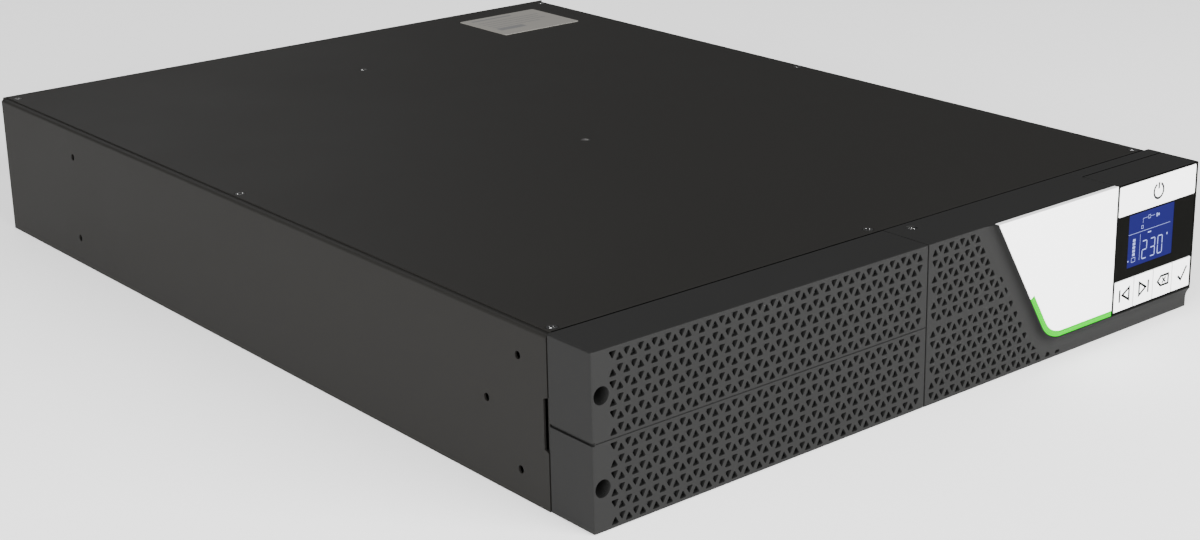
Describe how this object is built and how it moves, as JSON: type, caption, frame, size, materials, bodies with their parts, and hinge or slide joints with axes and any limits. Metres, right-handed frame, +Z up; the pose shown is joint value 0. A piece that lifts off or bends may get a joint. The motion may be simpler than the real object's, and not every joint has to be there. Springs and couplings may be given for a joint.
{
  "type": "uninterruptible power supply",
  "caption": "Low, wide rack or tower power supply case with a perforated battery door, a display with keys at one end, mains sockets and fans at the rear.",
  "frame": {"origin": "centre of the bounding box's bottom face, on the surface the unit lies on", "axes": "+Z up, +Y from the front bezel to the rear panel, +X to the right seen from the front"},
  "size_m": [0.44, 0.608, 0.088],
  "materials": {
    "black_steel": "fine textured powder coat",
    "zinc_steel": "zinc plated sheet",
    "screw_steel": "black zinc",
    "guard_wire": "bright wire",
    "label_paper": "satin polyester label",
    "bezel_plastic": "fine spark-eroded texture",
    "filter_foam": "open-cell foam",
    "white_plastic": "satin white",
    "green_light_guide": "translucent",
    "black_lens": "polished",
    "lcd_glass": "backlit display",
    "circuit_board": "solder mask",
    "black_component": "moulded epoxy",
    "socket_plastic": "moulded",
    "contact_metal": "plated",
    "connector_shell": "nickel plated",
    "terminal_green": "moulded",
    "breaker_cap": "moulded",
    "fan_plastic": "moulded",
    "heat_sink_metal": "extruded",
    "ferrite": "sintered",
    "winding_tape": "polyester tape",
    "copper_coil": "enamelled wire",
    "capacitor_sleeve": "shrink sleeve",
    "lead_insulation": "insulation",
    "battery_case": "ABS case",
    "strap_webbing": "woven webbing",
    "power_connector": "moulded"
  },
  "bodies": {
    "chassis": {"chassis_tray": "black_steel", "centre_divider": "zinc_steel", "front_plate": "zinc_steel", "bay_rear_wall": "zinc_steel", "top_cover": "black_steel", "cover_screws": "screw_steel", "rating_label": "label_paper", "rear_panel": "black_steel", "rear_screws": "screw_steel", "display_bezel": "bezel_plastic", "bezel_filter": "filter_foam", "trim_plate": "white_plastic", "trim_strip": "green_light_guide", "battery_socket": "power_connector", "main_board": "circuit_board", "board_standoffs": "zinc_steel", "heat_sinks": "heat_sink_metal", "power_transistors": "black_component", "transformer_core": "ferrite", "transformer_winding": "winding_tape", "inductors": "copper_coil", "bus_capacitors": "capacitor_sleeve", "relays": "black_component", "control_board": "circuit_board", "control_parts": "black_component", "wiring_loom": "lead_insulation", "fan_frame_inner": "fan_plastic", "fan_frame_outer": "fan_plastic", "fan_guards": "guard_wire", "outlet_housings": "socket_plastic", "outlet_cores": "socket_plastic", "mains_inlet": "socket_plastic", "inlet_pins": "contact_metal", "circuit_breaker": "socket_plastic", "slot_cover": "black_steel", "data_ports": "connector_shell", "stop_connector": "terminal_green", "network_ports": "connector_shell"},
    "battery_door": {"battery_door": "bezel_plastic", "door_filter": "filter_foam", "door_screws": "screw_steel"},
    "battery_pack": {"battery_tray": "zinc_steel", "battery_blocks": "battery_case", "battery_terminals": "contact_metal", "battery_links": "lead_insulation", "battery_strap": "strap_webbing", "battery_plug": "power_connector"},
    "display_module": {"display_housing": "bezel_plastic", "display_lens": "black_lens", "lcd_panel": "lcd_glass", "display_board": "circuit_board", "board_switches": "black_component"},
    "power_button": {"power_button": "white_plastic"},
    "key_previous": {"key_previous": "white_plastic"},
    "key_next": {"key_next": "white_plastic"},
    "key_back": {"key_back": "white_plastic"},
    "key_confirm": {"key_confirm": "white_plastic"},
    "fan_rotor_inner": {"fan_rotor_inner": "fan_plastic"},
    "fan_rotor_outer": {"fan_rotor_outer": "fan_plastic"},
    "breaker_button": {"breaker_button": "breaker_cap"}
  },
  "joints": [
    {"name": "battery_slide", "type": "slide", "parent": "chassis", "child": "battery_pack", "axis": [0, -1, 0], "range_m": [0, 0.46]},
    {"name": "door_pull", "type": "slide", "parent": "chassis", "child": "battery_door", "axis": [0, -1, 0], "range_m": [0, 0.598]},
    {"name": "display_pull", "type": "slide", "parent": "chassis", "child": "display_module", "axis": [0, -1, 0], "range_m": [0, 0.035]},
    {"name": "power_press", "type": "slide", "parent": "display_module", "child": "power_button", "axis": [0, 1, 0], "range_m": [0, 0.0008], "stiffness_N_per_m": 300},
    {"name": "previous_press", "type": "slide", "parent": "display_module", "child": "key_previous", "axis": [0, 1, 0], "range_m": [0, 0.0006], "stiffness_N_per_m": 300},
    {"name": "next_press", "type": "slide", "parent": "display_module", "child": "key_next", "axis": [0, 1, 0], "range_m": [0, 0.0006], "stiffness_N_per_m": 300},
    {"name": "back_press", "type": "slide", "parent": "display_module", "child": "key_back", "axis": [0, 1, 0], "range_m": [0, 0.0006], "stiffness_N_per_m": 300},
    {"name": "confirm_press", "type": "slide", "parent": "display_module", "child": "key_confirm", "axis": [0, 1, 0], "range_m": [0, 0.0006], "stiffness_N_per_m": 300},
    {"name": "inner_fan_spin", "type": "hinge", "parent": "chassis", "child": "fan_rotor_inner", "pos_m": [0.088, 0.285, 0.0434], "axis": [0, 1, 0], "continuous": true},
    {"name": "outer_fan_spin", "type": "hinge", "parent": "chassis", "child": "fan_rotor_outer", "pos_m": [0.172, 0.285, 0.0434], "axis": [0, 1, 0], "continuous": true},
    {"name": "breaker_trip", "type": "slide", "parent": "chassis", "child": "breaker_button", "axis": [0, 1, 0], "range_m": [0, 0.003]}
  ],
  "couplings": [
    {"joint": "door_pull", "follows": "battery_slide", "ratio": 1.3}
  ]
}
